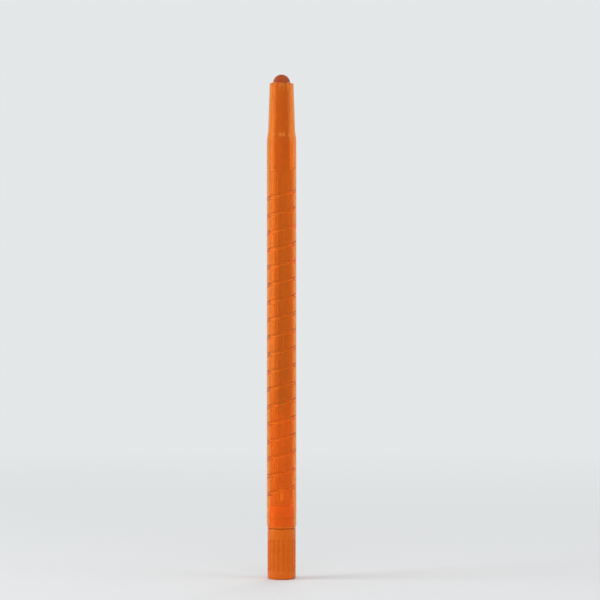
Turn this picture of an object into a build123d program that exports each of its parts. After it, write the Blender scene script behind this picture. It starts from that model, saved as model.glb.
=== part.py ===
"""Twist crayon: a wax stick that screws in and out of a see-through barrel.

Frame: +Z runs along the barrel from the knob to the writing tip, the origin is the centre of the
knob's flat end, and -Y is the front. Millimetres throughout.

How it works: the spiral rib inside the barrel holds the two lugs of the wax carrier, which stand out
through the slots of the drive fork. Turning the knob turns the fork, the fork turns the carrier, and
the rib feeds the carrier and its wax along the barrel.
"""

import math
import os

from build123d import *

# Wax stick
wax_radius = 2.7
tip_protrusion = 2.8  # how far the round tip stands out of the mouth
tip_recess = 0.5  # how far below the mouth it goes when wound back
wax_clearance = 0.15  # wax to fork

# Drive fork: two long legs on a collar, with a hollow shank behind
fork_wall = 0.6
fork_clearance = 0.15  # legs to the rib's crest
slot_width = 1.5
slot_azimuth = -97.0  # degrees from +X, so the slot faces the front, a little to the left
leg_tip_round = 2.4
fork_setback = 27.3  # leg tips to the barrel's mouth
collar_thickness = 1.5
shank_radius = 2.4
shank_bore_radius = 1.4
shank_flats = 3.9  # across the two flats that drive the knob
shank_end = 4.0  # how far the shank's end stands above the knob's flat end
shank_slit_width = 0.8
shank_slit_length = 6.0
barb_height = 0.3
barb_length = 1.6

# Barrel: a tube with a tapered nose
barrel_wall = 0.75
barrel_length = 140.25
nose_wall = 0.85
nose_clearance = 0.25  # wax to the mouth's bore
nose_length = 14.4
nose_growth = 0.5  # how much the nose's radius grows from the mouth to the flare
flare_length = 4.6
mouth_round = 0.25
barrel_rear_chamfer = 0.25
step_gap = 0.3  # leg tips to the step where the bore narrows

# Spiral rib inside the barrel
rib_pitch = 5.5
rib_height = 0.35
rib_root_width = 0.9
rib_crest_width = 0.5
rib_embed = 0.2  # how deep the rib's root reaches into the barrel's wall
rib_rear_gap = 0.8  # bush to the rib's rear end
rib_setback = 4.9  # the rib's front end to the step where the bore narrows

# Wax carrier: a pusher with a barbed spigot at its front and two drive lugs near its rear
carrier_clearance = 0.1  # pusher to fork
carrier_wall = 0.9
pusher_length = 27.0
carrier_rear_gap = 0.5  # pusher to the fork's collar when wound right back
lug_side_clearance = 0.1
lug_rib_clearance = 0.15
lug_tip_clearance = 0.12
lug_skirt = 0.3  # pusher below the lower lug
spigot_radius = 1.2
spigot_length = 6.0
spigot_ring_height = 0.3
spigot_ring_length = 1.5
spigot_ring_count = 2
spigot_clearance = 0.03

# Rear bush: closes the barrel and carries the shank
bush_length = 6.0
bush_flange = 0.8
bush_flange_inset = 0.2
bush_fit = 0.02
running_clearance = 0.05
end_play = 0.15
bead_height = 0.2
bead_length = 0.8
bead_clearance = 0.05

# Twist knob and the plug in its end
knob_length = 16.0
knob_inset = 0.2  # how far the knob's side lies inside the barrel's
knob_end_round = 0.6
knob_front_chamfer = 0.3
socket_clearance = 0.04
cavity_radius = 2.8
flute_count = 18
flute_radius = 0.55
flute_depth = 0.28
flute_start = 2.6
flute_length = 9.6
plug_radius = 3.2
plug_thickness = 1.3
plug_recess = 0.2
plug_fit = 0.02

# Radii, built up from the wax outwards
fork_inner_radius = wax_radius + wax_clearance
fork_radius = fork_inner_radius + fork_wall
crest_radius = fork_radius + fork_clearance
bore_radius = crest_radius + rib_height
barrel_radius = bore_radius + barrel_wall
mouth_bore_radius = wax_radius + nose_clearance
mouth_radius = mouth_bore_radius + nose_wall
nose_base_radius = mouth_radius + nose_growth
pusher_radius = fork_inner_radius - carrier_clearance
knob_radius = barrel_radius - knob_inset

# Stations along the axis, from the knob's end to the tip
flange_rear = knob_length + end_play
barrel_rear = flange_rear + bush_flange
bush_front = barrel_rear + bush_length
collar_rear = bush_front + end_play
collar_front = collar_rear + collar_thickness
mouth = barrel_rear + barrel_length
flare_front = mouth - nose_length
flare_rear = flare_front - flare_length
leg_tip = mouth - fork_setback
bore_step = leg_tip + step_gap
rib_front = bore_step - rib_setback
tip = mouth + tip_protrusion

# Carrier stations at rest
travel_back = tip_protrusion + tip_recess
pusher_rear = collar_front + carrier_rear_gap + travel_back
pusher_front = pusher_rear + pusher_length
lug_width = slot_width - 2 * lug_side_clearance
lug_height = rib_pitch - rib_root_width - 2 * lug_rib_clearance
lug_rise = rib_pitch / (2 * math.pi * crest_radius) * lug_width / 2
lug_middle = pusher_rear + lug_skirt + lug_height / 2
travel_out = rib_front - rib_pitch / 2 - lug_rise - lug_middle  # the rib still spans the lower lug


def spigot_section(gap):
    """The barbed spigot's half section on the XZ plane, enlarged by gap all round."""
    spacing = spigot_length / (spigot_ring_count + 1)
    with BuildSketch(Plane.XZ) as section:
        with Locations((0, pusher_front)):
            Rectangle(spigot_radius + gap, spigot_length + gap, align=Align.MIN)
        with GridLocations(0, spacing, 1, spigot_ring_count):
            with Locations((0, pusher_front + spigot_length / 2)):
                Rectangle(
                    spigot_radius + spigot_ring_height + gap,
                    spigot_ring_length + 2 * gap,
                    align=(Align.MIN, Align.CENTER),
                )
    return section.sketch


# Barrel: the nose, flare and tube are one moulding, with the spiral rib on the bore
with BuildPart() as barrel:
    with BuildSketch(Plane.XZ):
        with BuildLine():
            tube = Line((barrel_radius, barrel_rear), (barrel_radius, flare_rear))
            pull = flare_length / 2
            cone_slope = nose_growth / nose_length
            Bezier(
                tube @ 1,
                (barrel_radius, flare_rear + pull),
                (nose_base_radius + pull * cone_slope, flare_front - pull),
                (nose_base_radius, flare_front),
            )
            Polyline(
                (nose_base_radius, flare_front),
                (mouth_radius, mouth),
                (mouth_bore_radius, mouth),
                (nose_base_radius - nose_wall, flare_front),
                (crest_radius, flare_rear),
                (crest_radius, bore_step),
                (bore_radius, bore_step),
                (bore_radius, barrel_rear),
                tube @ 0,
            )
        make_face()
    revolve(axis=Axis.Z)
    rims = barrel.edges().filter_by(GeomType.CIRCLE).group_by(Axis.Z)
    fillet(rims[-1], mouth_round)
    chamfer(rims[0].sort_by(SortBy.RADIUS)[-1], barrel_rear_chamfer)

    # Groove for the bush's snap bead
    with BuildSketch(Plane.XZ):
        with Locations((0, barrel_rear + bush_length / 2)):
            Rectangle(
                bore_radius + bead_height + bead_clearance,
                bead_length + 2 * bead_clearance,
                align=(Align.MIN, Align.CENTER),
            )
    revolve(axis=Axis.Z, mode=Mode.SUBTRACT)

    # Spiral rib, right-handed, starting over +X where the lugs will sit midway between its turns
    crossing = lug_middle - rib_pitch * (0.5 + slot_azimuth % 360 / 360)
    turns_up = max(0, math.ceil((bush_front + rib_rear_gap - crossing) / rib_pitch))
    rib_rear = crossing + turns_up * rib_pitch
    with BuildLine() as rib_path:
        Helix(rib_pitch, rib_front - rib_rear, bore_radius, center=(0, 0, rib_rear))
    with BuildSketch(Plane(origin=rib_path.line @ 0, x_dir=(1, 0, 0), z_dir=rib_path.line % 0)):
        with BuildLine():
            Polyline(
                (rib_embed, rib_root_width / 2),
                (0, rib_root_width / 2),
                (-rib_height, rib_crest_width / 2),
                (-rib_height, -rib_crest_width / 2),
                (0, -rib_root_width / 2),
                (rib_embed, -rib_root_width / 2),
                close=True,
            )
        make_face()
    sweep(path=rib_path.line, is_frenet=True)

# Rear bush: a flanged sleeve snapped into the barrel
with BuildPart() as bush:
    with BuildSketch(Plane.XY.offset(flange_rear)):
        Circle(barrel_radius - bush_flange_inset)
    extrude(amount=bush_flange)
    with BuildSketch(Plane.XY.offset(barrel_rear)):
        Circle(bore_radius - bush_fit)
    extrude(amount=bush_length)
    with BuildSketch(Plane.XZ):
        with Locations((0, barrel_rear + bush_length / 2)):
            Rectangle(bore_radius + bead_height, bead_length, align=(Align.MIN, Align.CENTER))
    revolve(axis=Axis.Z)
    with Locations((0, 0, flange_rear)):
        Hole(shank_radius + running_clearance)

# Drive fork: collar, two legs and the shank that passes through the bush into the knob
with BuildPart() as fork:
    with BuildSketch(Plane.XY.offset(collar_rear)):
        Circle(fork_radius)
    extrude(amount=leg_tip - collar_rear)
    with BuildSketch(Plane.XY.offset(collar_front)):
        Circle(fork_inner_radius)
    extrude(amount=leg_tip - collar_front, mode=Mode.SUBTRACT)

    # Slots between the legs, opening out where the leg tips are rounded
    outwards = Vector(1, 0, 0).rotate(Axis.Z, slot_azimuth)
    sideways = Vector(0, 1, 0).rotate(Axis.Z, slot_azimuth)
    with BuildSketch(Plane(origin=(0, 0, 0), x_dir=sideways, z_dir=outwards)):
        edge = slot_width / 2
        with BuildLine():
            right = Line((edge, collar_front), (edge, leg_tip - leg_tip_round))
            TangentArc(right @ 1, (edge + leg_tip_round, leg_tip), tangent=(0, 1))
            Polyline((edge + leg_tip_round, leg_tip), (-edge - leg_tip_round, leg_tip))
            left = Line((-edge, collar_front), (-edge, leg_tip - leg_tip_round))
            TangentArc(left @ 1, (-edge - leg_tip_round, leg_tip), tangent=(0, 1))
            Line(left @ 0, right @ 0)
        make_face()
    extrude(amount=fork_radius, both=True, mode=Mode.SUBTRACT)

    # Shank: a round journal in the bush, then two flats in the knob, then a barb
    with BuildSketch(Plane.XY.offset(knob_length)):
        Circle(shank_radius)
    extrude(amount=collar_rear - knob_length)
    with BuildSketch(Plane.XY.offset(shank_end)):
        Circle(shank_radius)
        Rectangle(2 * shank_radius, shank_flats, mode=Mode.INTERSECT)
    extrude(amount=knob_length - shank_end)
    with BuildSketch(Plane.XZ):
        with BuildLine():
            Polyline(
                (0, shank_end),
                (shank_radius, shank_end),
                (shank_radius + barb_height, shank_end + barb_length / 2),
                (shank_radius + barb_height, shank_end + barb_length),
                (0, shank_end + barb_length),
                close=True,
            )
        make_face()
    revolve(axis=Axis.Z)
    with Locations((0, 0, shank_end)):
        Hole(shank_bore_radius)
    with BuildSketch(Plane.XY.offset(shank_end)):
        Rectangle(2 * (shank_radius + barb_height), shank_slit_width)
    extrude(amount=shank_slit_length, mode=Mode.SUBTRACT)

# Twist knob: fluted grip, socket for the shank, cavity for the barb and a seat for the plug
with BuildPart() as knob:
    with BuildSketch(Plane.XY):
        Circle(knob_radius)
    extrude(amount=knob_length)
    ends = knob.edges().filter_by(GeomType.CIRCLE).sort_by(Axis.Z)
    fillet(ends[0], knob_end_round)
    chamfer(ends[-1], knob_front_chamfer)
    with BuildSketch(Plane.XY.offset(flute_start)):
        with PolarLocations(knob_radius + flute_radius - flute_depth, flute_count):
            Circle(flute_radius)
    extrude(amount=flute_length, mode=Mode.SUBTRACT)
    with BuildSketch(Plane.XY.offset(shank_end)):
        Circle(shank_radius + socket_clearance)
        Rectangle(
            2 * (shank_radius + socket_clearance),
            shank_flats + 2 * socket_clearance,
            mode=Mode.INTERSECT,
        )
    extrude(amount=knob_length - shank_end, mode=Mode.SUBTRACT)
    cavity_top = shank_end + barb_length + socket_clearance
    with BuildSketch(Plane.XY):
        Circle(cavity_radius)
    extrude(amount=cavity_top, mode=Mode.SUBTRACT)
    with BuildSketch(Plane.XY):
        Circle(plug_radius)
    extrude(amount=plug_recess + plug_thickness, mode=Mode.SUBTRACT)

# Plug that closes the knob's end
with BuildPart() as plug:
    with BuildSketch(Plane.XY.offset(plug_recess)):
        Circle(plug_radius - plug_fit)
    extrude(amount=plug_thickness)

# Wax carrier: a hollow pusher with two lugs half a pitch apart, and a barbed spigot in the wax
with BuildPart() as carrier:
    with BuildSketch(Plane.XY.offset(pusher_rear)):
        Circle(pusher_radius)
    extrude(amount=pusher_length)
    revolve(spigot_section(0), axis=Axis.Z)
    with BuildSketch(Plane.XY.offset(pusher_rear)):
        Circle(pusher_radius - carrier_wall)
    extrude(amount=pusher_length - carrier_wall, mode=Mode.SUBTRACT)
    lug_corner_radius = bore_radius - lug_tip_clearance
    lug_reach = math.sqrt(lug_corner_radius**2 - (lug_width / 2) ** 2)
    for half_turn in range(2):
        azimuth = slot_azimuth + 180 * half_turn
        outwards = Vector(1, 0, 0).rotate(Axis.Z, azimuth)
        sideways = Vector(0, 1, 0).rotate(Axis.Z, azimuth)
        middle = Vector(0, 0, lug_middle + rib_pitch / 2 * half_turn)
        with BuildSketch(
            Plane(origin=middle + outwards * (pusher_radius - carrier_wall), x_dir=sideways, z_dir=outwards)
        ):
            with BuildLine():
                Polyline(
                    (-lug_width / 2, -lug_height / 2 - lug_rise),
                    (lug_width / 2, -lug_height / 2 + lug_rise),
                    (lug_width / 2, lug_height / 2 + lug_rise),
                    (-lug_width / 2, lug_height / 2 - lug_rise),
                    close=True,
                )
            make_face()
        extrude(amount=lug_reach - pusher_radius + carrier_wall)

# Wax stick: a round-tipped rod cast on to the carrier's spigot
with BuildPart() as wax:
    with BuildSketch(Plane.XZ):
        with BuildLine():
            side = Line((wax_radius, pusher_front), (wax_radius, tip - wax_radius))
            RadiusArc(side @ 1, (0, tip), -wax_radius)
            Polyline((0, tip), (0, pusher_front), side @ 0)
        make_face()
    revolve(axis=Axis.Z)
    revolve(spigot_section(spigot_clearance), axis=Axis.Z, mode=Mode.SUBTRACT)

pieces = {
    "barrel": barrel,
    "rear_bush": bush,
    "drive_fork": fork,
    "twist_knob": knob,
    "knob_plug": plug,
    "wax_carrier": carrier,
    "wax_stick": wax,
}
os.makedirs("parts", exist_ok=True)
for name, piece in pieces.items():
    piece.part.label = name
    export_step(piece.part, f"parts/{name}.step")

print(f"barrel diameter {2 * barrel_radius:.2f}, overall length {tip:.2f}")
print(f"wax length {tip - pusher_front:.2f}, feed {-travel_back:.2f} to {travel_out:.2f}")
print(f"knob turns {-travel_back / rib_pitch:.3f} to {travel_out / rib_pitch:.3f}")
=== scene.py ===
"""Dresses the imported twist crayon: fine meshes, materials, a pale floor, soft light and the camera.

Metres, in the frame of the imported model: +Z from the knob's flat end to the writing tip, -Y to the
front.
"""

import math

import bmesh
import bpy
from mathutils import Matrix, Vector
from mathutils.geometry import interpolate_bezier


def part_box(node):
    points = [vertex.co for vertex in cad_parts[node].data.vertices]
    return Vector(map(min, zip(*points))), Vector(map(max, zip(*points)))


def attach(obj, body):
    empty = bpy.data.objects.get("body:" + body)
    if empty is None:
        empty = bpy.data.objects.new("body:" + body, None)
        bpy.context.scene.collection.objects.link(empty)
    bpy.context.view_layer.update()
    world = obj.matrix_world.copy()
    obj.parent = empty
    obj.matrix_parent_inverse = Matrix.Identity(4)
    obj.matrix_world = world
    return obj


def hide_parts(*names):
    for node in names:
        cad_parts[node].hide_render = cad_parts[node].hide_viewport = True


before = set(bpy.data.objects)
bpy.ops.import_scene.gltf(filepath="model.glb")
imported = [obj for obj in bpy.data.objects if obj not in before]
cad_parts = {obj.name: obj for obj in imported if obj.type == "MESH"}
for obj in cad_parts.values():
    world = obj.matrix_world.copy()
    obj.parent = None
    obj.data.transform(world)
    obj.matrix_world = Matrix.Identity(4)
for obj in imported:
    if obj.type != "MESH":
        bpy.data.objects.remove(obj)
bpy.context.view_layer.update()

MM = 0.001
COLUMNS = 128  # faces round a plain turned piece
ROUND_ANGLES = [math.tau * i / COLUMNS for i in range(COLUMNS)]
SHARP_ANGLE = math.radians(40)  # a fold steeper than this is an edge
WELD_DISTANCE = 1e-7
SLIVER_LENGTH = 1e-8
POINT_RADIUS = 1e-9  # a smaller ring is one point on the axis
FROST = "frost"  # mesh attribute: how far a moulding's polish has gone, from 0 to 1


def half_width(node):
    """Half of a node's width along X: the radius of a turned piece."""
    low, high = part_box(node)
    return (high.x - low.x) / 2


def ends(node):
    """A node's lowest and highest z."""
    low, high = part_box(node)
    return low.z, high.z


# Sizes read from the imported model
BARREL_R = half_width("barrel")
BARREL_REAR, MOUTH = ends("barrel")
FLANGE_R = half_width("rear_bush")
FLANGE_REAR, BUSH_FRONT = ends("rear_bush")
FORK_R = half_width("drive_fork")
SHANK_END, LEG_TIP = ends("drive_fork")
KNOB_R = half_width("twist_knob")
KNOB_REAR, KNOB_FRONT = ends("twist_knob")
PLUG_R = half_width("knob_plug")
PLUG_REAR, PLUG_FRONT = ends("knob_plug")
PUSHER_R = half_width("wax_carrier")
PUSHER_REAR, SPIGOT_TIP = ends("wax_carrier")
WAX_R = half_width("wax_stick")
WAX_REAR, TIP = ends("wax_stick")

# All mouldings
EDGE_ROUND = 0.1 * MM

# Barrel
BARREL_WALL = 0.75 * MM
BORE_R = BARREL_R - BARREL_WALL
STEP_CLEARANCE = 0.3 * MM
BORE_STEP = LEG_TIP + STEP_CLEARANCE  # where the bore narrows, past the fork's legs
NOSE_WALL = 0.85 * MM
NOSE_CLEARANCE = 0.25 * MM
NOSE_LENGTH = 14.4 * MM
NOSE_GROWTH = 0.5 * MM
MOUTH_BORE_R = WAX_R + NOSE_CLEARANCE
MOUTH_R = MOUTH_BORE_R + NOSE_WALL
NOSE_BASE_R = MOUTH_R + NOSE_GROWTH
FLARE_LENGTH = 4.6 * MM
FLARE_STEPS = 14
FLARE_FRONT = MOUTH - NOSE_LENGTH
FLARE_REAR = FLARE_FRONT - FLARE_LENGTH
MOUTH_ROUND = 0.25 * MM
REAR_ROUND = 0.25 * MM

# Spiral rib inside the barrel
RIB_PITCH = 5.5 * MM
RIB_HEIGHT = 0.35 * MM
RIB_WIDTH = 0.9 * MM
RIB_CROWN_HALF = 0.05 * MM  # half the width of its flat crown
RIB_FOOT_HALF = 0.8 * MM  # half the width at the foot of its rounded flanks
RIB_FLANK_STEPS = 8
RIB_GAP_ROWS = (0.2, 0.35, 0.5, 0.65, 0.8)  # rows of plain bore between two turns, in pitches
RIB_SETBACK = 4.9 * MM  # its front end to the step where the bore narrows
RIB_RUN_IN = math.radians(14)  # turn over which the rib grows to its full height
CREST_R = BORE_R - RIB_HEIGHT

# Drive fork
FORK_WALL = 0.6 * MM
SLOT_WIDTH = 1.5 * MM
SLOT_AZIMUTH = math.radians(-97)
LEG_MIDDLE_R = FORK_R - FORK_WALL / 2
LEG_TIP_ROUND = 2.4 * MM
LEG_TIP_STEPS = 10
LEG_PLAIN_STEPS = 22
LEG_EDGE_ROUND = 0.2 * MM
LEG_EDGE_STEPS = 4
END_PLAY = 0.15 * MM
COLLAR_THICKNESS = 1.5 * MM
COLLAR_REAR = BUSH_FRONT + END_PLAY
COLLAR_FRONT = COLLAR_REAR + COLLAR_THICKNESS
SHANK_R = 2.4 * MM
SHANK_BORE_R = 1.4 * MM
SHANK_FLATS = 3.9 * MM
BARB_HEIGHT = 0.3 * MM
BARB_LENGTH = 1.6 * MM
SLIT_WIDTH = 0.8 * MM
SLIT_DEPTH = 6.0 * MM
SLIT_SPAN = 8.0 * MM  # the slit is cut right across the shank and its barb
FORK_SOFTENING = 0.06 * MM

# Wax carrier
CARRIER_WALL = 0.9 * MM
CARRIER_SOFTENING = 0.07 * MM
LUG_PLAY = 0.3 * MM
LUG_HEIGHT = RIB_PITCH - RIB_WIDTH - LUG_PLAY
LUG_SIDE_PLAY = 0.2 * MM
LUG_WIDTH = SLOT_WIDTH - LUG_SIDE_PLAY
LUG_CLEARANCE = 0.12 * MM
LUG_CORNER_R = BORE_R - LUG_CLEARANCE
LUG_SKIRT = 0.3 * MM
LUG_MIDDLE = PUSHER_REAR + LUG_SKIRT + LUG_HEIGHT / 2
SPIGOT_R = 1.2 * MM
SPIGOT_RING_HEIGHT = 0.3 * MM
SPIGOT_RING_LENGTH = 1.5 * MM
SPIGOT_RING_PLACES = (1 / 3, 2 / 3)  # along the spigot
SPIGOT_CLEARANCE = 0.03 * MM

# Rear bush
BUSH_FIT = 0.02 * MM
JOURNAL_CLEARANCE = 0.05 * MM
BEAD_HEIGHT = 0.2 * MM
BEAD_LENGTH = 0.8 * MM
BEAD_CLEARANCE = 0.05 * MM
BEAD_MIDDLE = (BARREL_REAR + BUSH_FRONT) / 2

# Twist knob
KNOB_REAR_ROUND = 0.6 * MM
KNOB_FRONT_ROUND = 0.35 * MM
KNOB_ROUND_STEPS = 8
SOCKET_CLEARANCE = 0.04 * MM
CAVITY_R = 2.8 * MM
FLUTE_COUNT = 18
FLUTE_PITCH = math.tau / FLUTE_COUNT
FLUTE_R = 0.55 * MM
FLUTE_DEPTH = 0.28 * MM
FLUTE_HALF = math.sqrt(FLUTE_R**2 - (FLUTE_R - FLUTE_DEPTH) ** 2)  # half its width on the knob's face
FLUTE_LENGTH = 9.6 * MM
FLUTE_REAR = 2.6 * MM
FLUTE_FRONT = FLUTE_REAR + FLUTE_LENGTH
FLUTE_STEPS = 10
FLUTE_END_STEPS = 6
LAND_COLUMNS = (0.25, 0.5, 0.75)  # columns between two flutes, as shares of the land's width

# Knob plug
PLUG_FIT = 0.02 * MM
RIM_WIDTH = 0.75 * MM
DISH_DEPTH = 0.12 * MM
DISH_SLOPE = 0.15 * MM
PIP_R = 0.45 * MM
PIP_FOOT_R = 0.54 * MM
PIP_SETBACK = 0.02 * MM

# Wax stick
SHAFT_STEPS = 40
DOME_STEPS = 24


# Mesh helpers


def polar(radius, angle, z):
    """A point at a radius and an angle round the axis."""
    return radius * math.cos(angle), radius * math.sin(angle), z


def rounded(corners, steps=5):
    """An open outline of (radius, z, rounding) corners, with each rounded corner as an arc."""
    outline = []
    last = len(corners) - 1
    for i, (r, z, rounding) in enumerate(corners):
        corner = Vector((r, z))
        if rounding == 0 or i in (0, last):
            outline.append((r, z))
            continue
        back = (Vector(corners[i - 1][:2]) - corner).normalized()
        ahead = (Vector(corners[i + 1][:2]) - corner).normalized()
        half = back.angle(ahead) / 2
        centre = corner + (back + ahead).normalized() * rounding / math.sin(half)
        first = corner + back * rounding / math.tan(half) - centre
        final = corner + ahead * rounding / math.tan(half) - centre
        sweep = first.angle_signed(final)
        for step in range(steps + 1):
            spoke = Matrix.Rotation(-sweep * step / steps, 2) @ first
            outline.append(tuple(centre + spoke))
    return outline


def flat_sided(radius, across):
    """The radius of a round bar with two flats that face +Y and -Y, as a function of the angle."""

    def reach(angle):
        rise = abs(math.sin(angle))
        return across / 2 / rise if radius * rise > across / 2 else radius

    return reach


def ring(bm, radius, z, angles):
    """One ring of vertices, or one vertex on the axis, at a radius or a function of the angle."""
    if not callable(radius) and radius < POINT_RADIUS:
        return [bm.verts.new((0, 0, z))] * len(angles)
    reach = radius if callable(radius) else lambda angle: radius
    return [bm.verts.new(polar(reach(angle), angle, z)) for angle in angles]


def bridge(bm, lower, upper):
    """Faces between two rings, with triangles where one of them is a point."""
    count = len(lower)
    for i in range(count):
        j = (i + 1) % count
        bm.faces.new(dict.fromkeys((lower[i], lower[j], upper[j], upper[i])))


def spin(bm, outline, angles):
    """Turns an outline of (radius, z) points about the axis and returns its rings."""
    rings = [ring(bm, r, z, angles) for r, z in outline]
    for lower, upper in zip(rings, rings[1:]):
        bridge(bm, lower, upper)
    return rings


def finish_mesh(bm, name):
    """Welds, orients and shades a mesh and links it as an object."""
    bmesh.ops.remove_doubles(bm, verts=bm.verts, dist=WELD_DISTANCE)
    bmesh.ops.dissolve_degenerate(bm, edges=bm.edges, dist=SLIVER_LENGTH)
    bmesh.ops.recalc_face_normals(bm, faces=bm.faces)
    mesh = bpy.data.meshes.new(name)
    bm.to_mesh(mesh)
    bm.free()
    mesh.shade_smooth()
    mesh.set_sharp_from_angle(angle=SHARP_ANGLE)
    piece = bpy.data.objects.new(name, mesh)
    bpy.context.scene.collection.objects.link(piece)
    return piece


def turned(name, outline, angles=ROUND_ANGLES, hollow=False):
    """A piece turned from its half section, which goes from the axis to the axis, or round a hole."""
    bm = bmesh.new()
    rings = spin(bm, outline, angles)
    if hollow:
        bridge(bm, rings[-1], rings[0])
    return finish_mesh(bm, name)


def block(name, size, middle):
    """A plain box, used to cut a slit."""
    bm = bmesh.new()
    bmesh.ops.create_cube(bm, size=1)
    for vert in bm.verts:
        vert.co = Vector(middle) + vert.co * Vector(size)
    return finish_mesh(bm, name)


def combine(piece, tool, operation):
    """Joins tool to piece or cuts it away, and removes the tool."""
    change = piece.modifiers.new("combine", "BOOLEAN")
    change.operation = operation
    change.solver = "EXACT"
    change.object = tool
    bpy.context.view_layer.update()
    evaluated = piece.evaluated_get(bpy.context.evaluated_depsgraph_get())
    result = bpy.data.meshes.new_from_object(evaluated)
    piece.modifiers.clear()
    piece.data = result
    piece.data.set_sharp_from_angle(angle=SHARP_ANGLE)
    bpy.data.objects.remove(tool)


def soften(piece, width):
    """Rounds a piece's sharp edges a little, as a moulding's are."""
    bevel = piece.modifiers.new("soft_edges", "BEVEL")
    bevel.width = width
    bevel.segments = 2
    bevel.limit_method = "ANGLE"
    bevel.angle_limit = SHARP_ANGLE
    bevel.harden_normals = True


# Barrel mesh


def flare_points():
    """The S-shaped flare from the tube to the nose, as unrounded corners along a cubic curve."""
    pull = FLARE_LENGTH / 2
    slope = NOSE_GROWTH / NOSE_LENGTH
    handles = (
        Vector((BARREL_R, FLARE_REAR)),
        Vector((BARREL_R, FLARE_REAR + pull)),
        Vector((NOSE_BASE_R + pull * slope, FLARE_FRONT - pull)),
        Vector((NOSE_BASE_R, FLARE_FRONT)),
    )
    return [(point.x, point.y, 0) for point in interpolate_bezier(*handles, FLARE_STEPS + 1)]


def rib_section():
    """The bore along one pitch, as (offset along the axis from the rib, share of the rib's height)."""
    flank = []
    for i in range(RIB_FLANK_STEPS + 1):
        share = i / RIB_FLANK_STEPS
        offset = RIB_CROWN_HALF + (RIB_FOOT_HALF - RIB_CROWN_HALF) * share
        flank.append((offset, (1 + math.cos(math.pi * share)) / 2))
    gap = [(RIB_PITCH * share, 0) for share in RIB_GAP_ROWS]
    return [(-offset, height) for offset, height in reversed(flank)] + flank + gap


def spiral_bore(bm, rear, front):
    """The bore between two heights, with the spiral rib that grows out of it at both ends."""
    # The rib passes half a pitch behind the lower lug, and begins at the angle 0
    rib_rear = LUG_MIDDLE - RIB_PITCH * (0.5 + SLOT_AZIMUTH % math.tau / math.tau)
    rib_sweep = math.tau * (BORE_STEP - RIB_SETBACK - rib_rear) / RIB_PITCH
    first_turn = math.floor((rear - rib_rear) / RIB_PITCH) - 1
    last_turn = math.ceil((front - rib_rear) / RIB_PITCH)
    section = rib_section()
    frost = bm.verts.layers.float.new(FROST)
    columns = []
    for i in range(COLUMNS + 1):
        angle = math.tau * i / COLUMNS
        column = []
        for turn in range(first_turn, last_turn + 1):
            along = angle + math.tau * turn
            grown = min(1, max(0, min(along, rib_sweep - along) / RIB_RUN_IN))
            rise = RIB_HEIGHT * grown**2 * (3 - 2 * grown)
            middle = rib_rear + RIB_PITCH * along / math.tau
            for offset, height in section:
                z = min(front, max(rear, middle + offset))
                vert = bm.verts.new(polar(BORE_R - rise * height, angle, z))
                # The rib is fully frosted from half its height up
                vert[frost] = min(1, 2 * height) * grown
                column.append(vert)
        columns.append(column)
    for left, right in zip(columns, columns[1:]):
        for i in range(len(left) - 1):
            bm.faces.new((left[i], right[i], right[i + 1], left[i + 1]))


def make_barrel():
    """Tube, flare and nose in one moulding, with the spiral rib and the bush's snap groove inside."""
    groove_r = BORE_R + BEAD_HEIGHT + BEAD_CLEARANCE
    groove_half = BEAD_LENGTH / 2 + BEAD_CLEARANCE
    bore_rear = BUSH_FRONT + END_PLAY
    bore_front = BORE_STEP - 2 * EDGE_ROUND
    rear_end = [
        (BORE_R, bore_rear, 0),
        (BORE_R, BEAD_MIDDLE + groove_half, 0),
        (groove_r, BEAD_MIDDLE + groove_half, 0),
        (groove_r, BEAD_MIDDLE - groove_half, 0),
        (BORE_R, BEAD_MIDDLE - groove_half, 0),
        (BORE_R, BARREL_REAR, EDGE_ROUND),
        (BARREL_R, BARREL_REAR, REAR_ROUND),
    ]
    nose = [
        (MOUTH_R, MOUTH, MOUTH_ROUND),
        (MOUTH_BORE_R, MOUTH, MOUTH_ROUND),
        (NOSE_BASE_R - NOSE_WALL, FLARE_FRONT, 0),
        (CREST_R, FLARE_REAR, 0),
        (CREST_R, BORE_STEP, EDGE_ROUND),
        (BORE_R, BORE_STEP, EDGE_ROUND),
        (BORE_R, bore_front, 0),
    ]
    bm = bmesh.new()
    spin(bm, rounded(rear_end + flare_points() + nose), ROUND_ANGLES)
    spiral_bore(bm, bore_rear, bore_front)
    return finish_mesh(bm, "barrel_shell")


# Rear bush mesh


def make_bush():
    """The flanged sleeve that closes the barrel's rear."""
    hole = SHANK_R + JOURNAL_CLEARANCE
    hole_middle = (FLANGE_REAR + BUSH_FRONT) / 2
    outer = BORE_R - BUSH_FIT
    bead = BORE_R + BEAD_HEIGHT
    outline = rounded(
        [
            (hole, hole_middle, 0),
            (hole, FLANGE_REAR, EDGE_ROUND),
            (FLANGE_R, FLANGE_REAR, EDGE_ROUND),
            (FLANGE_R, BARREL_REAR, EDGE_ROUND),
            (outer, BARREL_REAR, 0),
            (outer, BEAD_MIDDLE - BEAD_LENGTH / 2, 0),
            (bead, BEAD_MIDDLE - BEAD_LENGTH / 2, EDGE_ROUND),
            (bead, BEAD_MIDDLE + BEAD_LENGTH / 2, EDGE_ROUND),
            (outer, BEAD_MIDDLE + BEAD_LENGTH / 2, 0),
            (outer, BUSH_FRONT, 2 * EDGE_ROUND),
            (hole, BUSH_FRONT, EDGE_ROUND),
            (hole, hole_middle, 0),
        ]
    )
    # The outline ends where it began, and the hollow form closes it
    return turned("rear_bush_ring", outline[:-1], hollow=True)


# Drive fork mesh


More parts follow.
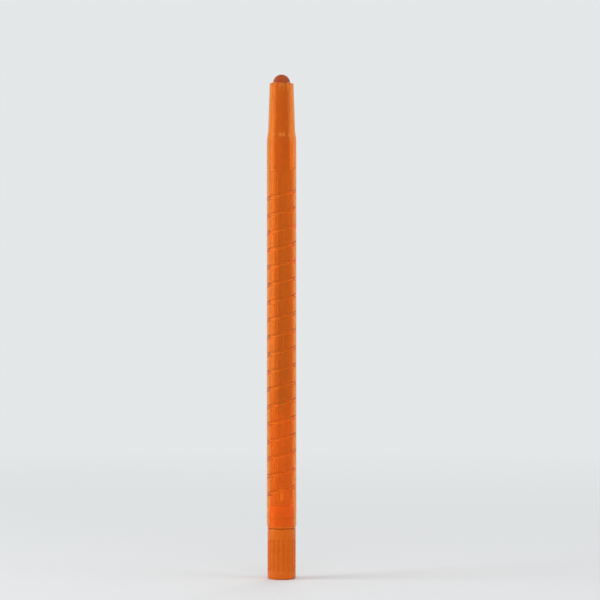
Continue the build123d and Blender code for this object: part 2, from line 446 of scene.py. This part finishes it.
def leg_columns():
    """One leg's face inside its rounded edge, as (turn from the slot's middle, height, lean).

    The lean is the direction from the face out over its edge: 0 towards the slot, a quarter turn at the
    flat tip, and a half turn towards the next slot.
    """
    inset = LEG_TIP_ROUND - LEG_EDGE_ROUND
    tip_start = (SLOT_WIDTH / 2 + LEG_TIP_ROUND) / LEG_MIDDLE_R
    near = []
    for step in range(LEG_TIP_STEPS + 1):
        lean = math.pi / 2 * step / LEG_TIP_STEPS
        turn = tip_start - inset * math.cos(lean) / LEG_MIDDLE_R
        near.append((turn, LEG_TIP - LEG_TIP_ROUND + inset * math.sin(lean), lean))
    spacing = (math.pi - 2 * tip_start) / LEG_PLAIN_STEPS
    tip = near[-1][1]
    flat = [(tip_start + spacing * i, tip, math.pi / 2) for i in range(1, LEG_PLAIN_STEPS)]
    far = [(math.pi - turn, height, math.pi - lean) for turn, height, lean in reversed(near)]
    return near + flat + far


def leg_edge():
    """Section of a leg's rounded edge from inside to outside, as (reach over the edge, radius)."""
    swings = [math.pi / 2 * i / LEG_EDGE_STEPS for i in range(LEG_EDGE_STEPS + 1)]
    corner = [(LEG_EDGE_ROUND * math.sin(s), LEG_EDGE_ROUND * (1 - math.cos(s))) for s in swings]
    inner = [(reach, FORK_R - FORK_WALL + inset) for reach, inset in corner]
    outer = [(reach, FORK_R - inset) for reach, inset in reversed(corner)]
    return inner + outer


def edge_verts(bm, section, angle, height, lean):
    """The vertices of a leg's rounded edge beside one column of its face."""
    frost = bm.verts.layers.float[FROST]
    verts = []
    for reach, radius in section:
        around = angle - reach * math.cos(lean) / LEG_MIDDLE_R
        vert = bm.verts.new(polar(radius, around, height + reach * math.sin(lean)))
        vert[frost] = reach / LEG_EDGE_ROUND
        verts.append(vert)
    return verts


def add_leg(bm, slot, columns, inside, outside):
    """Raises a leg from its columns' vertices on the collar and returns its feet beside the slots."""
    section = leg_edge()
    tops = [edge_verts(bm, section, slot + turn, height, lean) for turn, height, lean in columns]
    for i in range(len(columns) - 1):
        here, ahead = tops[i], tops[i + 1]
        bm.faces.new((outside[i], outside[i + 1], ahead[-1], here[-1]))
        bm.faces.new((inside[i + 1], inside[i], here[0], ahead[0]))
        for j in range(len(section) - 1):
            bm.faces.new((here[j], ahead[j], ahead[j + 1], here[j + 1]))
    feet = []
    for i in (0, -1):
        turn, height, lean = columns[i]
        side = edge_verts(bm, section[1:-1], slot + turn, COLLAR_FRONT, lean)
        foot = [inside[i], *side, outside[i]]
        for j in range(len(foot) - 1):
            bm.faces.new((foot[j], foot[j + 1], tops[i][j + 1], tops[i][j]))
        feet.append(foot)
    return feet


def make_fork():
    """The shank, the collar and the two long legs with their rounded tips."""
    driven = flat_sided(SHANK_R, SHANK_FLATS)
    barb_top = SHANK_END + BARB_LENGTH
    outline = [
        (FORK_R - FORK_WALL, COLLAR_FRONT),
        (SHANK_BORE_R, COLLAR_FRONT),
        (SHANK_BORE_R, SHANK_END),
        (SHANK_R, SHANK_END),
        (SHANK_R + BARB_HEIGHT, SHANK_END + BARB_LENGTH / 2),
        (SHANK_R + BARB_HEIGHT, barb_top),
        (driven, barb_top),
        (driven, KNOB_FRONT),
        (SHANK_R, KNOB_FRONT),
        (SHANK_R, COLLAR_REAR),
        (FORK_R - EDGE_ROUND, COLLAR_REAR),
        (FORK_R, COLLAR_REAR + EDGE_ROUND),
        (FORK_R, COLLAR_FRONT),
    ]
    columns = leg_columns()
    turns = [0] + [turn for turn, height, lean in columns]
    slots = (SLOT_AZIMUTH, SLOT_AZIMUTH + math.pi)
    bm = bmesh.new()
    bm.verts.layers.float.new(FROST)
    rings = spin(bm, outline, [slot + turn for slot in slots for turn in turns])
    inside, outside = rings[0], rings[-1]
    size = len(turns)
    feet = []
    for i, slot in enumerate(slots):
        leg = slice(i * size + 1, (i + 1) * size)
        feet += add_leg(bm, slot, columns, inside[leg], outside[leg])
    # The collar's top between the legs, where each slot ends
    for before, after, i in ((feet[3], feet[0], 0), (feet[1], feet[2], size)):
        bm.faces.new((*before, outside[i], *reversed(after), inside[i]))
    fork = finish_mesh(bm, "drive_fork_legs")
    slit = block("slit", (SLIT_SPAN, SLIT_WIDTH, 2 * SLIT_DEPTH), (0, 0, SHANK_END))
    combine(fork, slit, "DIFFERENCE")
    soften(fork, FORK_SOFTENING)
    return fork


# Knob and plug meshes


def fluted(z):
    """The knob's radius at a height, as a function of the angle: ball-ended flutes in a plain round."""
    beyond = max(FLUTE_REAR - z, z - FLUTE_FRONT, 0)
    cut = math.sqrt(max(0, FLUTE_R**2 - beyond**2))
    centre = KNOB_R + FLUTE_R - FLUTE_DEPTH

    def reach(angle):
        off = (angle + FLUTE_PITCH / 2) % FLUTE_PITCH - FLUTE_PITCH / 2
        room = cut**2 - (centre * math.sin(off)) ** 2
        if room <= 0:
            return KNOB_R
        return min(KNOB_R, centre * math.cos(off) - math.sqrt(room))

    return reach


def flute_angles():
    """Columns round the knob: close together across each flute, and few on the lands."""
    half_cut = FLUTE_HALF / KNOB_R
    land = FLUTE_PITCH - 2 * half_cut
    across = [-half_cut + 2 * half_cut * i / FLUTE_STEPS for i in range(FLUTE_STEPS + 1)]
    offsets = across + [half_cut + land * share for share in LAND_COLUMNS]
    return [FLUTE_PITCH * flute + offset for flute in range(FLUTE_COUNT) for offset in offsets]


def flute_heights():
    """Rows along the flutes: close together at their ball ends."""
    swings = [math.pi / 2 * i / FLUTE_END_STEPS for i in range(FLUTE_END_STEPS + 1)]
    reaches = [FLUTE_HALF * math.sin(swing) for swing in swings]
    rear = [FLUTE_REAR - reach for reach in reversed(reaches)]
    return rear + [FLUTE_FRONT + reach for reach in reaches]


def make_knob():
    """The fluted grip, with its socket for the shank, the barb's cavity and the plug's seat."""
    socket = flat_sided(SHANK_R + SOCKET_CLEARANCE, SHANK_FLATS + 2 * SOCKET_CLEARANCE)
    cavity_top = SHANK_END + BARB_LENGTH + SOCKET_CLEARANCE
    seat = PLUG_R + PLUG_FIT
    outside = rounded(
        [
            (seat, KNOB_REAR, 0),
            (KNOB_R, KNOB_REAR, KNOB_REAR_ROUND),
            (KNOB_R, KNOB_FRONT, KNOB_FRONT_ROUND),
            (SHANK_R + SOCKET_CLEARANCE, KNOB_FRONT, 0),
        ],
        KNOB_ROUND_STEPS,
    )
    below = [point for point in outside if point[1] < FLUTE_REAR]
    grip = [(fluted(z), z) for z in flute_heights()]
    above = [point for point in outside[:-1] if point[1] > FLUTE_FRONT]
    inside = [
        (socket, KNOB_FRONT),
        (socket, cavity_top),
        (CAVITY_R, cavity_top),
        (CAVITY_R, PLUG_FRONT),
        (seat, PLUG_FRONT),
    ]
    return turned("twist_knob_grip", below + grip + above + inside, flute_angles(), hollow=True)


def make_plug():
    """The round plug in the knob's end, with a shallow dish and the pip left by its moulding gate."""
    dish = PLUG_REAR + DISH_DEPTH
    outline = rounded(
        [
            (0, PLUG_REAR + PIP_SETBACK, 0),
            (PIP_R, PLUG_REAR + PIP_SETBACK, EDGE_ROUND / 2),
            (PIP_FOOT_R, dish, EDGE_ROUND / 2),
            (PLUG_R - RIM_WIDTH - DISH_SLOPE, dish, EDGE_ROUND),
            (PLUG_R - RIM_WIDTH, PLUG_REAR, EDGE_ROUND),
            (PLUG_R, PLUG_REAR, 2 * EDGE_ROUND),
            (PLUG_R, PLUG_FRONT, EDGE_ROUND),
            (0, PLUG_FRONT, 0),
        ]
    )
    return turned("knob_plug_disc", outline)


# Wax and carrier meshes


def spigot_outline(gap):
    """Half section of the barbed spigot from its foot up to the axis, enlarged all round by gap."""
    neck = SPIGOT_R + gap
    crest = neck + SPIGOT_RING_HEIGHT
    half = SPIGOT_RING_LENGTH / 2 + gap
    outline = [(neck, WAX_REAR)]
    for share in SPIGOT_RING_PLACES:
        middle = WAX_REAR + (SPIGOT_TIP - WAX_REAR) * share
        outline += [(neck, middle - half), (crest, middle - half)]
        outline += [(crest, middle + half), (neck, middle + half)]
    return outline + [(neck, SPIGOT_TIP + gap), (0, SPIGOT_TIP + gap)]


def make_lug(azimuth, middle):
    """A drive lug: a block leaning with the spiral, from inside the pusher's wall to near the bore."""
    rise = RIB_PITCH / (math.tau * CREST_R) * LUG_WIDTH / 2
    reach = math.sqrt(LUG_CORNER_R**2 - (LUG_WIDTH / 2) ** 2)
    outwards = Vector(polar(1, azimuth, 0))
    sideways = Vector(polar(1, azimuth + math.pi / 2, 0))
    bm = bmesh.new()
    rings = []
    for out in (PUSHER_R - CARRIER_WALL / 2, reach):
        corners = []
        for across, up in ((-1, -1), (1, -1), (1, 1), (-1, 1)):
            place = outwards * out + sideways * across * LUG_WIDTH / 2
            place.z = middle + up * LUG_HEIGHT / 2 + across * rise
            corners.append(bm.verts.new(place))
        rings.append(corners)
    bridge(bm, *rings)
    for corners in rings:
        bm.faces.new(corners)
    return finish_mesh(bm, "lug")


def make_carrier():
    """The hollow pusher with its two drive lugs, and the barbed spigot that the wax is cast on."""
    roof = WAX_REAR - CARRIER_WALL
    pusher = [
        (0, roof),
        (PUSHER_R - CARRIER_WALL, roof),
        (PUSHER_R - CARRIER_WALL, PUSHER_REAR),
        (PUSHER_R, PUSHER_REAR),
        (PUSHER_R, WAX_REAR),
    ]
    carrier = turned("wax_carrier_pusher", pusher + spigot_outline(0))
    for half_turn in range(2):
        lug = make_lug(SLOT_AZIMUTH + math.pi * half_turn, LUG_MIDDLE + RIB_PITCH / 2 * half_turn)
        combine(carrier, lug, "UNION")
    soften(carrier, CARRIER_SOFTENING)
    return carrier


def make_wax():
    """The round-tipped stick of wax, cast on the spigot."""
    foot = spigot_outline(SPIGOT_CLEARANCE)[::-1]
    heel = [(WAX_R - EDGE_ROUND, WAX_REAR), (WAX_R, WAX_REAR + EDGE_ROUND)]
    centre = TIP - WAX_R
    shaft = [(WAX_R, WAX_REAR + (centre - WAX_REAR) * i / SHAFT_STEPS) for i in range(1, SHAFT_STEPS)]
    swings = [math.pi / 2 * i / DOME_STEPS for i in range(DOME_STEPS + 1)]
    dome = [(WAX_R * math.cos(swing), centre + WAX_R * math.sin(swing)) for swing in swings]
    return turned("wax_stick_core", foot + heel + shaft + dome)


# Materials

WARM_GLOSS = (1.0, 0.75, 0.17)  # the dye also colours what the plastic mirrors
AMBER = (0.978, 0.675, 0.21)  # the colour that the clear plastics take on with depth
HANDLING_WEAR = 0.07  # roughness that handling adds to them in places


def new_material(name):
    """A new material; returns it, its node tree and its shader."""
    material = bpy.data.materials.new(name)
    material.use_nodes = True
    tree = material.node_tree
    shader = next(node for node in tree.nodes if node.type == "BSDF_PRINCIPLED")
    return material, tree, shader


def set_inputs(node, values):
    """Sets a node's inputs by their names; colours are given without their alpha."""
    for name, value in values.items():
        socket = node.inputs[name]
        socket.default_value = (*value, 1) if socket.type == "RGBA" else value


def noise(tree, scale, detail=3, stretch=(1, 1, 1)):
    """Noise in object space, in cycles per metre, stretched along the axes."""
    place = tree.nodes.new("ShaderNodeTexCoord")
    mapping = tree.nodes.new("ShaderNodeMapping")
    set_inputs(mapping, {"Scale": stretch})
    texture = tree.nodes.new("ShaderNodeTexNoise")
    set_inputs(texture, {"Scale": scale, "Detail": detail})
    tree.links.new(place.outputs["Object"], mapping.inputs["Vector"])
    tree.links.new(mapping.outputs["Vector"], texture.inputs["Vector"])
    return texture.outputs["Fac"]


def spread(tree, value, low, high, start=0.3, stop=0.7):
    """Maps a value from start to stop, where noise mostly lies, to a range."""
    node = tree.nodes.new("ShaderNodeMapRange")
    set_inputs(node, {"From Min": start, "From Max": stop, "To Min": low, "To Max": high})
    tree.links.new(value, node.inputs["Value"])
    return node.outputs["Result"]


def mottle(tree, shader, value, first, second):
    """Mixes two colours by a noise value for the shader's colour."""
    node = tree.nodes.new("ShaderNodeMix")
    node.data_type = "RGBA"
    set_inputs(node, {"A": first, "B": second})
    tree.links.new(spread(tree, value, 0, 1), node.inputs["Factor"])
    tree.links.new(node.outputs["Result"], shader.inputs["Base Color"])


def bump(tree, shader, height, distance):
    """Sends a height to the shader's normal."""
    node = tree.nodes.new("ShaderNodeBump")
    set_inputs(node, {"Distance": distance})
    tree.links.new(height, node.inputs["Height"])
    tree.links.new(node.outputs["Normal"], shader.inputs["Normal"])


def mix_at_output(tree, share, first, second):
    """Sends the output the first shader where share is 0, and the second where it is 1."""
    mix = tree.nodes.new("ShaderNodeMixShader")
    tree.links.new(share, mix.inputs["Fac"])
    tree.links.new(first, mix.inputs[1])
    tree.links.new(second, mix.inputs[2])
    tree.links.new(mix.outputs["Shader"], tree.get_output_node("ALL").inputs["Surface"])


def frosted_roughness(tree, value, frosting):
    """Adds the frosting to a roughness where the mesh is marked as frosted."""
    marked = tree.nodes.new("ShaderNodeAttribute")
    marked.attribute_name = FROST
    total = tree.nodes.new("ShaderNodeMath")
    total.operation = "MULTIPLY_ADD"
    total.inputs[1].default_value = frosting
    tree.links.new(marked.outputs["Fac"], total.inputs[0])
    tree.links.new(value, total.inputs[2])
    return total.outputs["Value"]


def let_lamps_through(tree, shader):
    """Lets lamp light into a clear plastic, so that what is inside is lit."""
    path = tree.nodes.new("ShaderNodeLightPath")
    clear = tree.nodes.new("ShaderNodeBsdfTransparent")
    mix_at_output(tree, path.outputs["Is Shadow Ray"], shader.outputs["BSDF"], clear.outputs["BSDF"])


def tint_through(tree, density):
    """Colours a clear plastic by depth, so that thick places and edges are deeper in colour."""
    absorption = tree.nodes.new("ShaderNodeVolumeAbsorption")
    set_inputs(absorption, {"Color": AMBER, "Density": density})
    tree.links.new(absorption.outputs["Volume"], tree.get_output_node("ALL").inputs["Volume"])


def clear_plastic(name, surface, clearness, ior, density, roughness, frosting):
    """Tinted see-through plastic: glossy, with faint flow lines, handling marks and frosted edges."""
    material, tree, shader = new_material(name)
    set_inputs(
        shader,
        {
            "Base Color": surface,
            "Transmission Weight": clearness,
            "IOR": ior,
            "Specular Tint": WARM_GLOSS,
        },
    )
    marks = noise(tree, scale=260, detail=4, stretch=(1, 1, 0.35))
    polish = spread(tree, marks, roughness, roughness + HANDLING_WEAR)
    tree.links.new(frosted_roughness(tree, polish, frosting), shader.inputs["Roughness"])
    flow = noise(tree, scale=700, detail=2, stretch=(1, 1, 0.06))
    bump(tree, shader, flow, distance=0.006 * MM)
    let_lamps_through(tree, shader)
    tint_through(tree, density)
    return material


def knob_plastic():
    """Solid orange moulded plastic: a little depth, a fine grain, and a shine dulled in places."""
    material, tree, shader = new_material("knob_plastic")
    patches = noise(tree, scale=140)
    mottle(tree, shader, patches, first=(0.68, 0.115, 0.006), second=(0.74, 0.135, 0.009))
    wear = noise(tree, scale=500)
    tree.links.new(spread(tree, wear, low=0.2, high=0.3), shader.inputs["Roughness"])
    set_inputs(
        shader,
        {
            "Specular Tint": WARM_GLOSS,
            "Subsurface Weight": 0.2,
            "Subsurface Radius": (1.0, 0.3, 0.06),
            "Subsurface Scale": 0.5 * MM,
        },
    )
    bump(tree, shader, noise(tree, scale=6000, detail=2), distance=0.0015 * MM)
    return material


def crayon_wax():
    """Waxy orange: soft light in it, a mottled colour, and a dull rubbed skin with fine pits."""
    material, tree, shader = new_material("crayon_wax")
    patches = noise(tree, scale=620, detail=5)
    mottle(tree, shader, patches, first=(0.335, 0.052, 0.0095), second=(0.42, 0.076, 0.016))
    rubbing = noise(tree, scale=1500)
    tree.links.new(spread(tree, rubbing, low=0.45, high=0.65), shader.inputs["Roughness"])
    set_inputs(
        shader,
        {
            "Specular IOR Level": 0.2,
            "Subsurface Weight": 0.3,
            "Subsurface Radius": (1.0, 0.4, 0.15),
            "Subsurface Scale": 0.8 * MM,
        },
    )
    bump(tree, shader, noise(tree, scale=2600, detail=5), distance=0.03 * MM)
    return material


# Stage

PALE = (0.78, 0.80, 0.81)  # the floor and the background
WORLD_LIGHT = 0.5
FLOOR_RADIUS = 4.0
FLOOR_FADE = (0.1, 0.6)  # distances from the crayon between which the floor turns into background
MIDDLE = (0, 0, TIP / 2)
LAMPS = (  # name, place, aim, width and height, watts
    ("left_box", (-0.5, -0.14, 0.15), (0, -0.14, 0.15), (0.34, 0.4), 0.68),
    ("right_box", (0.5, -0.12, 0.29), (0, -0.12, 0.29), (0.34, 0.2), 0.24),
    ("front_strip", (0, -0.6, 0.39), (0, 0, 0.14), (0.6, 0.08), 0.4),
    ("high_left", (-0.7, -0.15, 0.53), MIDDLE, (0.4, 0.3), 1.9),
    ("high_right", (0.65, -0.3, 0.5), MIDDLE, (0.4, 0.3), 0.7),
    ("high_front", (0.1, -0.6, 0.6), MIDDLE, (0.6, 0.3), 0.8),
    ("high_back", (0.15, 0.65, 0.6), MIDDLE, (0.5, 0.4), 1.4),
)


def make_floor():
    """A round pale floor that takes the crayon's shadow and fades into the background further out."""
    bm = bmesh.new()
    bmesh.ops.create_circle(bm, cap_ends=True, segments=96, radius=FLOOR_RADIUS)
    floor = finish_mesh(bm, "floor")
    material, tree, shader = new_material("floor")
    set_inputs(shader, {"Base Color": PALE, "Roughness": 0.9, "Specular IOR Level": 0})
    glow = tree.nodes.new("ShaderNodeEmission")
    set_inputs(glow, {"Color": PALE})
    place = tree.nodes.new("ShaderNodeNewGeometry")
    distance = tree.nodes.new("ShaderNodeVectorMath")
    distance.operation = "LENGTH"
    tree.links.new(place.outputs["Position"], distance.inputs[0])
    far = spread(tree, distance.outputs["Value"], 0, 1, *FLOOR_FADE)
    mix_at_output(tree, far, shader.outputs["BSDF"], glow.outputs["Emission"])
    floor.data.materials.append(material)


def make_world():
    """A pale background where it is seen or mirrored, and a plain white light for the rest."""
    world = bpy.data.worlds.new("studio")
    bpy.context.scene.world = world
    world.use_nodes = True
    tree = world.node_tree
    lit = next(node for node in tree.nodes if node.type == "BACKGROUND")
    set_inputs(lit, {"Color": (1, 1, 1), "Strength": WORLD_LIGHT})
    seen = tree.nodes.new("ShaderNodeBackground")
    set_inputs(seen, {"Color": PALE})
    path = tree.nodes.new("ShaderNodeLightPath")
    sight = path.outputs["Is Camera Ray"]
    for ray in ("Is Glossy Ray", "Is Transmission Ray"):
        either = tree.nodes.new("ShaderNodeMath")
        either.operation = "MAXIMUM"
        tree.links.new(sight, either.inputs[0])
        tree.links.new(path.outputs[ray], either.inputs[1])
        sight = either.outputs["Value"]
    mix_at_output(tree, sight, lit.outputs["Background"], seen.outputs["Background"])


def make_lamp(name, place, aim, size, watts):
    """A rectangular soft light at place, facing aim."""
    light = bpy.data.lights.new(name, "AREA")
    light.shape = "RECTANGLE"
    light.size, light.size_y = size
    light.energy = watts
    lamp = bpy.data.objects.new(name, light)
    lamp.location = place
    lamp.rotation_euler = (Vector(aim) - Vector(place)).to_track_quat("-Z", "Y").to_euler()
    bpy.context.scene.collection.objects.link(lamp)


def make_camera():
    """A long lens, level and square to the crayon, framed as in the photograph."""
    frame_pixels = 600
    pixel = 0.3175 * MM  # real size of one pixel at the crayon
    axis_column, tip_row = 281.6, 74.5  # where the crayon's axis and tip lie in the frame
    lens = bpy.data.cameras.new("camera")
    lens.lens = 135
    lens.sensor_width = 36
    distance = frame_pixels * pixel * lens.lens / lens.sensor_width
    right = (frame_pixels / 2 - axis_column) * pixel
    height = TIP - (frame_pixels / 2 - tip_row) * pixel
    camera = bpy.data.objects.new("camera", lens)
    camera.location = (right, -distance, height)
    camera.rotation_euler = (math.pi / 2, 0, 0)
    bpy.context.scene.collection.objects.link(camera)
    bpy.context.scene.camera = camera


# Scene

bpy.context.scene.view_settings.view_transform = "Standard"
# Light is guided a long way inside the clear mouldings before it comes out
BOUNCES = 48
bpy.context.scene.cycles.max_bounces = BOUNCES
bpy.context.scene.cycles.transmission_bounces = BOUNCES
bpy.context.scene.cycles.glossy_bounces = BOUNCES

barrel_plastic = clear_plastic(
    "barrel_plastic",
    surface=(1.0, 0.44, 0.04),
    clearness=0.89,
    ior=1.48,
    density=650,
    roughness=0.03,
    frosting=0.25,
)
fork_plastic = clear_plastic(
    "fork_plastic",
    surface=(0.86, 0.48, 0.16),
    clearness=0.86,
    ior=1.49,
    density=1000,
    roughness=0.1,
    frosting=0.4,
)
solid_plastic = knob_plastic()
wax = crayon_wax()

PIECES = (
    (make_barrel, "barrel", "body", "barrel_plastic", barrel_plastic),
    (make_bush, "rear_bush", "body", "knob_plastic", solid_plastic),
    (make_fork, "drive_fork", "twister", "fork_plastic", fork_plastic),
    (make_knob, "twist_knob", "twister", "knob_plastic", solid_plastic),
    (make_plug, "knob_plug", "twister", "knob_plastic", solid_plastic),
    (make_carrier, "wax_carrier", "core", "fork_plastic", fork_plastic),
    (make_wax, "wax_stick", "core", "wax", wax),
)
for make, node, body, slot, material in PIECES:
    piece = make()
    piece.data.materials.clear()
    piece.data.materials.append(material)
    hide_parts(node)
    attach(piece, body)

make_floor()
make_world()
for lamp in LAMPS:
    make_lamp(*lamp)
make_camera()
